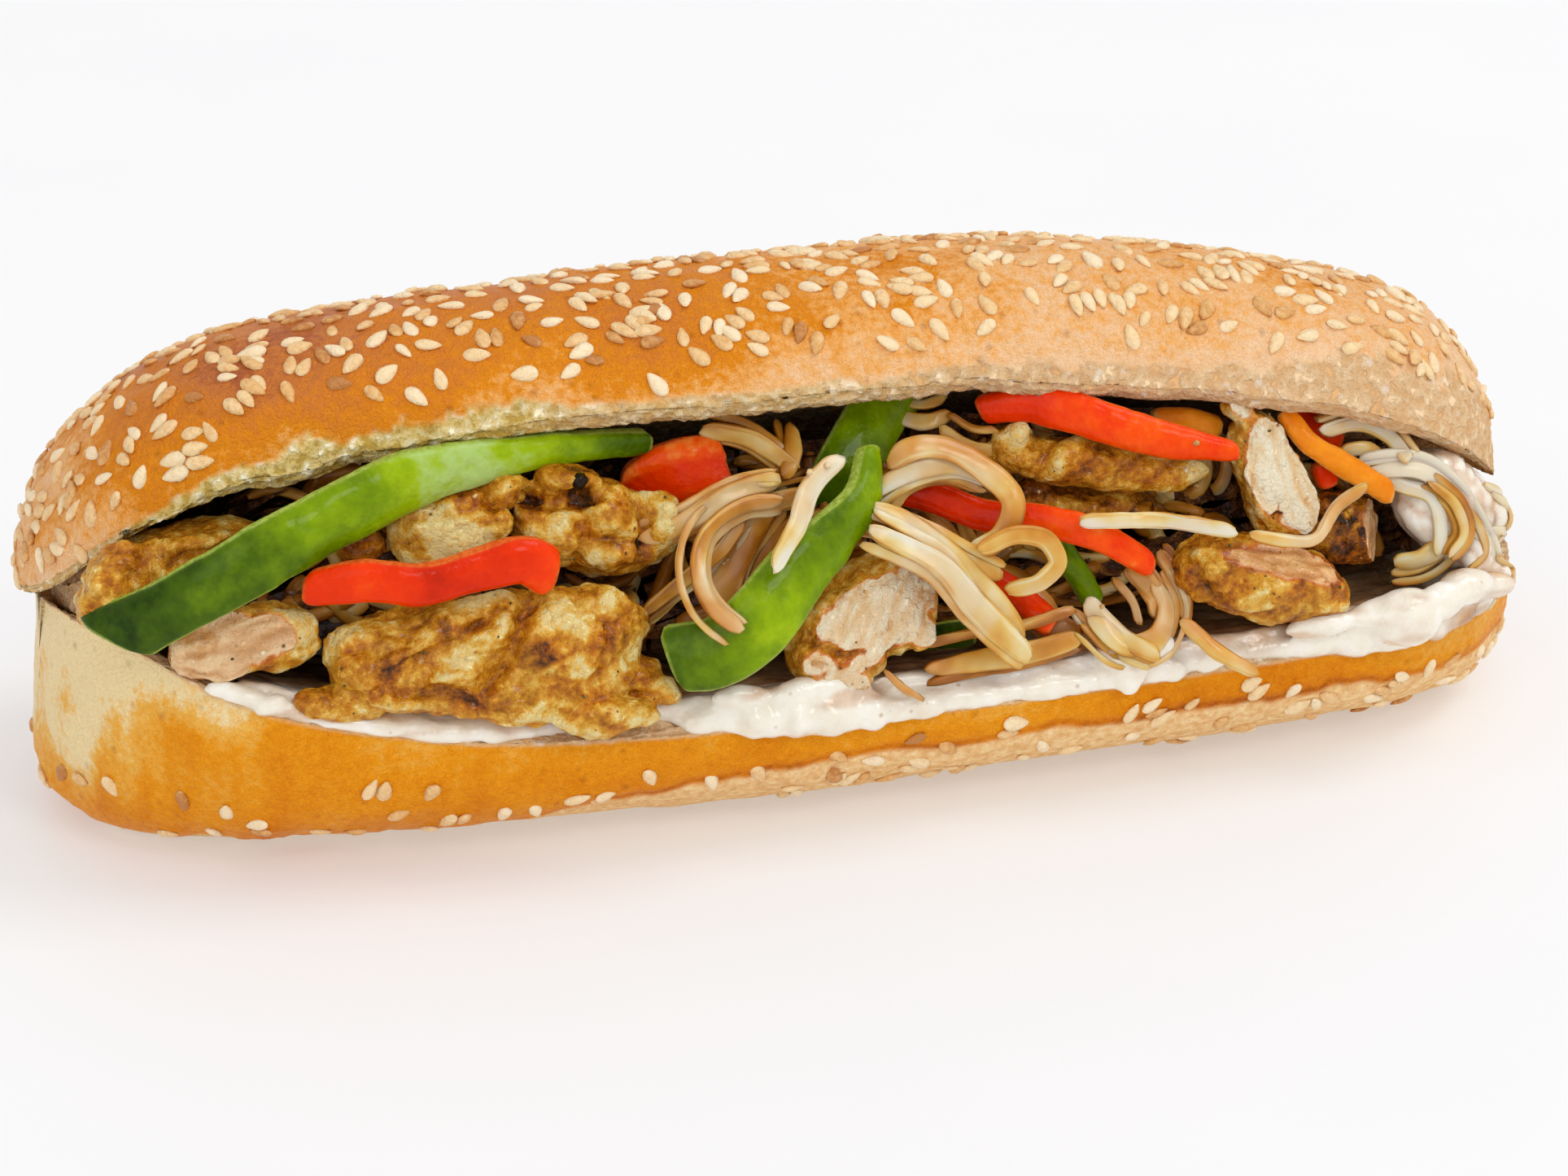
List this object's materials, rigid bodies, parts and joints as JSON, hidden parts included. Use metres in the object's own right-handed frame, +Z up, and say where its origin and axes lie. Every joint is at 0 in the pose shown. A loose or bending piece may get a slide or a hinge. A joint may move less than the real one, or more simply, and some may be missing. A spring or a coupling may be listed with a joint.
{
  "type": "submarine sandwich",
  "caption": "Long seeded roll, split along its front and propped open by seared chicken, green and red pepper, fried onion and white sauce.",
  "frame": {"origin": "on the surface it rests on, under the middle of the whole sandwich's box", "axes": "+X along the roll towards its wider open end, -Y out of the mouth that shows the filling, +Z up"},
  "size_m": [0.1954, 0.079, 0.0654],
  "materials": {
    "golden_crust": "baked golden crust, pale crumb on the cut face",
    "browned_crust": "baked brown crust with a soft sheen, sesame seeds, pale crumb on the cut face",
    "seared_chicken": "seared and oily, with pale cut faces",
    "green_pepper": "glossy skin, pale flesh at the edges",
    "red_pepper": "glossy skin, lighter flesh at the edges",
    "orange_pepper": "glossy, soft from frying",
    "fried_onion": "translucent, oily, browned in places",
    "white_sauce": "smooth and wet"
  },
  "bodies": {
    "root": {"chicken_behind": "seared_chicken", "chicken_brown": "seared_chicken", "chicken_left_cut": "seared_chicken", "chicken_left_top": "seared_chicken", "chicken_long": "seared_chicken", "chicken_lower": "seared_chicken", "chicken_middle": "seared_chicken", "chicken_pale": "seared_chicken", "chicken_right": "seared_chicken", "chicken_small": "seared_chicken", "chicken_upper": "seared_chicken", "chicken_upright": "seared_chicken", "green_back": "green_pepper", "green_dark": "green_pepper", "green_front": "green_pepper", "green_long": "green_pepper", "green_small": "green_pepper", "onion_amber": "fried_onion", "onion_arch": "fried_onion", "onion_curl": "fried_onion", "onion_end_bundle": "fried_onion", "onion_heap": "fried_onion", "onion_high": "fried_onion", "onion_loop_big": "fried_onion", "onion_loop_inner": "fried_onion", "onion_loop_left": "fried_onion", "onion_loop_small": "fried_onion", "onion_low_left": "fried_onion", "onion_pale": "fried_onion", "onion_petal": "fried_onion", "onion_rim": "fried_onion", "onion_stalk": "fried_onion", "onion_stick": "fried_onion", "orange_right": "orange_pepper", "orange_top": "orange_pepper", "red_band": "red_pepper", "red_centre": "red_pepper", "red_folded": "red_pepper", "red_long": "red_pepper", "red_low": "red_pepper", "red_right": "red_pepper", "red_small": "red_pepper", "roll_bottom": "golden_crust", "roll_top": "browned_crust", "sauce_dollop": "white_sauce", "sauce_drip": "white_sauce", "sauce_end": "white_sauce", "sauce_layer": "white_sauce"}
  },
  "joints": []
}
